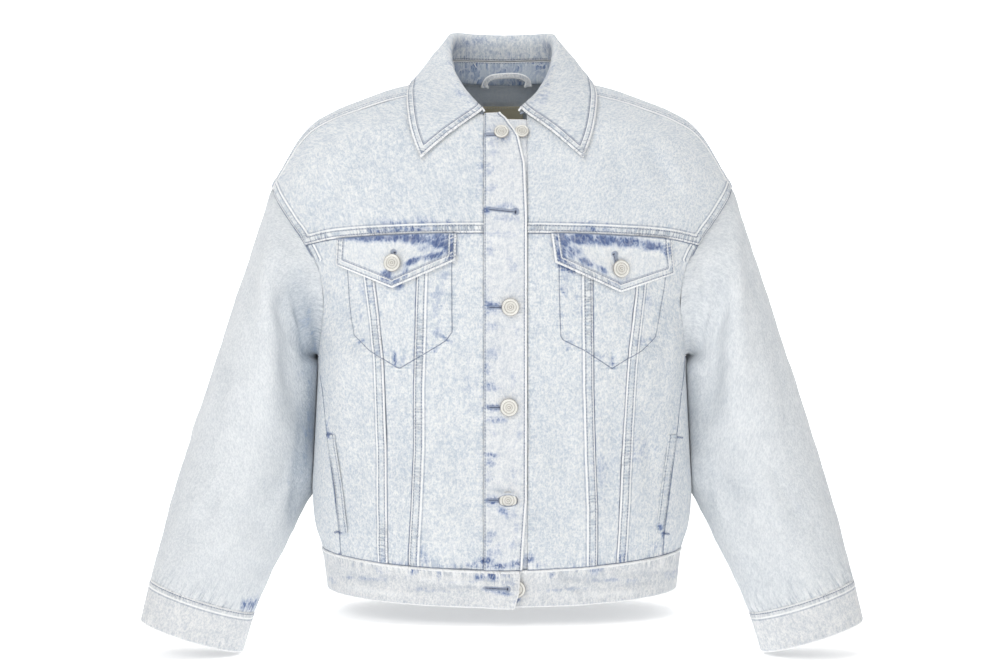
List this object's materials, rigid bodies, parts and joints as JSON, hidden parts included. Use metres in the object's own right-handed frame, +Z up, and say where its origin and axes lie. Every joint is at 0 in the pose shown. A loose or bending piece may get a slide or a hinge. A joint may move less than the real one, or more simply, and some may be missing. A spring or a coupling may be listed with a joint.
{
  "type": "denim jacket",
  "caption": "Hip-length washed denim jacket, filled out as worn, with a pointed collar, button front, flap chest pockets, hand pockets, set-in sleeves, plain cuffs and waistband.",
  "frame": {"origin": "on the centre plane, at the height of the neck points of the shoulders, where a wearer's shoulders carry the jacket", "axes": "+Z up, the front faces -Y, +X is the wearer's left"},
  "size_m": [0.8048, 0.2784, 0.6991],
  "materials": {
    "denim": "acid-washed pale blue twill, matt",
    "denim_faded": "the same twill on bands and plackets, faded nearly white, matt",
    "denim_blue": "the same twill where it kept more indigo, matt",
    "pocketing": "plain cotton, matt",
    "button_metal": "pale enamelled shank button, satin",
    "label": "bare woven tape, matt"
  },
  "bodies": {
    "root": {"front_yoke_left": "denim", "front_yoke_right": "denim", "front_centre_left": "denim", "front_centre_right": "denim", "front_dart_left": "denim", "front_dart_right": "denim", "front_side_left": "denim", "front_side_right": "denim", "side_panel_left": "denim", "side_panel_right": "denim", "back_yoke": "denim", "back_panel": "denim", "sleeve_left": "denim", "sleeve_right": "denim", "collar_leaf": "denim", "pocket_welt_left": "denim", "pocket_welt_right": "denim", "placket_left": "denim_faded", "placket_right": "denim_faded", "waistband_left": "denim_faded", "waistband_right": "denim_faded", "waistband_back": "denim_faded", "cuff_left": "denim_faded", "cuff_right": "denim_faded", "hang_loop": "denim_faded", "collar_stand": "denim_blue", "pocket_flap_left": "denim_blue", "pocket_flap_right": "denim_blue", "pocket_bag_left": "pocketing", "pocket_bag_right": "pocketing", "button_collar": "button_metal", "button_collar_under": "button_metal", "button_chest": "button_metal", "button_waist": "button_metal", "button_low": "button_metal", "button_band": "button_metal", "button_flap_left": "button_metal", "button_flap_right": "button_metal", "neck_label": "label"}
  },
  "joints": []
}
